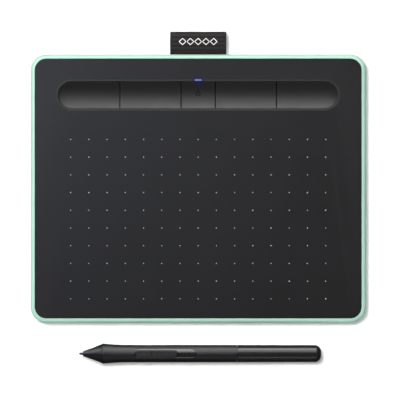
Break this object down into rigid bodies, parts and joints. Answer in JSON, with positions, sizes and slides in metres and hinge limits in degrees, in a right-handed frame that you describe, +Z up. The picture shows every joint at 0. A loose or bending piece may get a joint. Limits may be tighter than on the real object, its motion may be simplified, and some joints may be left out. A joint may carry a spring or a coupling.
{
  "type": "pen drawing tablet",
  "caption": "Thin pen drawing tablet with a pen tray made of press keys, a fabric pen loop on its rear edge, and a pressure pen with side switches lying in front.",
  "frame": {"origin": "centre of the footprint of the whole set (pen loop, tablet and pen), on the surface it stands on", "axes": "+X along the tablet's long side to the user's right, +Y to the rear edge with the pen loop, +Z up out of the drawing surface"},
  "size_m": [0.2, 0.1982, 0.0121],
  "materials": {
    "case_mint": "fine satin moulding",
    "sheet_black": "fine paper-like grain with a printed dot grid",
    "cover_black": "plain moulding",
    "bezel_black": "satin bevel",
    "key_grey": "smooth satin",
    "light_clear": "diffusing clear plastic",
    "board_green": "solder mask",
    "chip_black": "moulded epoxy",
    "led_white": "plain",
    "plated_steel": "tin plated",
    "screw_steel": "black zinc",
    "battery_foil": "foil pouch",
    "lead_insulation": "plain",
    "connector_ivory": "plain",
    "flex_amber": "polyimide film",
    "loop_fabric": "ribbed woven ribbon",
    "foot_rubber": "matt rubber",
    "pen_soft_black": "soft-touch coating",
    "pen_tail_grey": "satin gloss",
    "pen_cone_black": "smooth",
    "switch_black": "satin",
    "nib_black": "acetal",
    "ferrite": "sintered",
    "coil_copper": "enamelled wire"
  },
  "bodies": {
    "tablet": {"bottom_case": "case_mint", "top_cover": "cover_black", "drawing_sheet": "sheet_black", "tray_bezel": "bezel_black", "key_carrier": "cover_black", "status_light_pipe": "light_clear", "status_led": "led_white", "main_board": "board_green", "controller_chip": "chip_black", "board_components": "chip_black", "radio_module": "plated_steel", "usb_shell": "plated_steel", "usb_tongue": "chip_black", "battery_cell": "battery_foil", "battery_leads": "lead_insulation", "battery_connector": "connector_ivory", "sensor_board": "board_green", "sensor_shield": "plated_steel", "sensor_flex": "flex_amber", "flex_sockets": "connector_ivory", "pen_loop": "loop_fabric", "loop_clamp_bar": "plated_steel", "case_screws": "screw_steel", "board_screws": "screw_steel", "carrier_screws": "screw_steel", "loop_clamp_screws": "screw_steel", "express_dome_1": "plated_steel", "express_dome_2": "plated_steel", "power_dome": "plated_steel", "express_dome_3": "plated_steel", "express_dome_4": "plated_steel", "foot_front_left": "foot_rubber", "foot_front_right": "foot_rubber", "foot_rear_left": "foot_rubber", "foot_rear_right": "foot_rubber"},
    "pen": {"pen_nose_cone": "pen_cone_black", "pen_grip_barrel": "pen_soft_black", "switch_panel": "switch_black", "coil_core": "ferrite", "coil_winding": "coil_copper", "pressure_sensor": "chip_black", "pen_board": "board_green", "pen_chassis": "cover_black", "switch_dome_front": "plated_steel", "switch_dome_rear": "plated_steel", "nib_holder": "pen_cone_black", "nib_spacer": "foot_rubber", "spare_nibs": "nib_black"},
    "nib": {"pen_nib": "nib_black"},
    "front_switch": {"front_switch": "switch_black"},
    "rear_switch": {"rear_switch": "switch_black"},
    "tail_sleeve": {"pen_tail_sleeve": "pen_tail_grey", "pen_end_plug": "pen_cone_black"},
    "express_key_1": {"express_key_1": "key_grey"},
    "express_key_2": {"express_key_2": "key_grey"},
    "power_key": {"power_key": "key_grey"},
    "express_key_3": {"express_key_3": "key_grey"},
    "express_key_4": {"express_key_4": "key_grey"}
  },
  "joints": [
    {"name": "express_key_1_press", "type": "slide", "parent": "tablet", "child": "express_key_1", "axis": [0, 0, -1], "range_m": [0, 0.0004], "stiffness_N_per_m": 1500, "deforming": ["express_dome_1"]},
    {"name": "express_key_2_press", "type": "slide", "parent": "tablet", "child": "express_key_2", "axis": [0, 0, -1], "range_m": [0, 0.0004], "stiffness_N_per_m": 1500, "deforming": ["express_dome_2"]},
    {"name": "power_key_press", "type": "slide", "parent": "tablet", "child": "power_key", "axis": [0, 0, -1], "range_m": [0, 0.0004], "stiffness_N_per_m": 1500, "deforming": ["power_dome"]},
    {"name": "express_key_3_press", "type": "slide", "parent": "tablet", "child": "express_key_3", "axis": [0, 0, -1], "range_m": [0, 0.0004], "stiffness_N_per_m": 1500, "deforming": ["express_dome_3"]},
    {"name": "express_key_4_press", "type": "slide", "parent": "tablet", "child": "express_key_4", "axis": [0, 0, -1], "range_m": [0, 0.0004], "stiffness_N_per_m": 1500, "deforming": ["express_dome_4"]},
    {"name": "pen_lift", "type": "slide", "parent": "tablet", "child": "pen", "axis": [0, 0, 1], "range_m": [0, 0.08]},
    {"name": "nib_press", "type": "slide", "parent": "pen", "child": "nib", "axis": [1, 0, -0.0078], "range_m": [0, 0.0003], "stiffness_N_per_m": 3000},
    {"name": "front_switch_press", "type": "slide", "parent": "pen", "child": "front_switch", "axis": [-0.0078, 0, -1], "range_m": [0, 0.0003], "stiffness_N_per_m": 2500, "deforming": ["switch_dome_front"]},
    {"name": "rear_switch_press", "type": "slide", "parent": "pen", "child": "rear_switch", "axis": [-0.0078, 0, -1], "range_m": [0, 0.0003], "stiffness_N_per_m": 2500, "deforming": ["switch_dome_rear"]},
    {"name": "tail_sleeve_pull", "type": "slide", "parent": "pen", "child": "tail_sleeve", "axis": [1, 0, -0.0078], "range_m": [0, 0.032]}
  ]
}
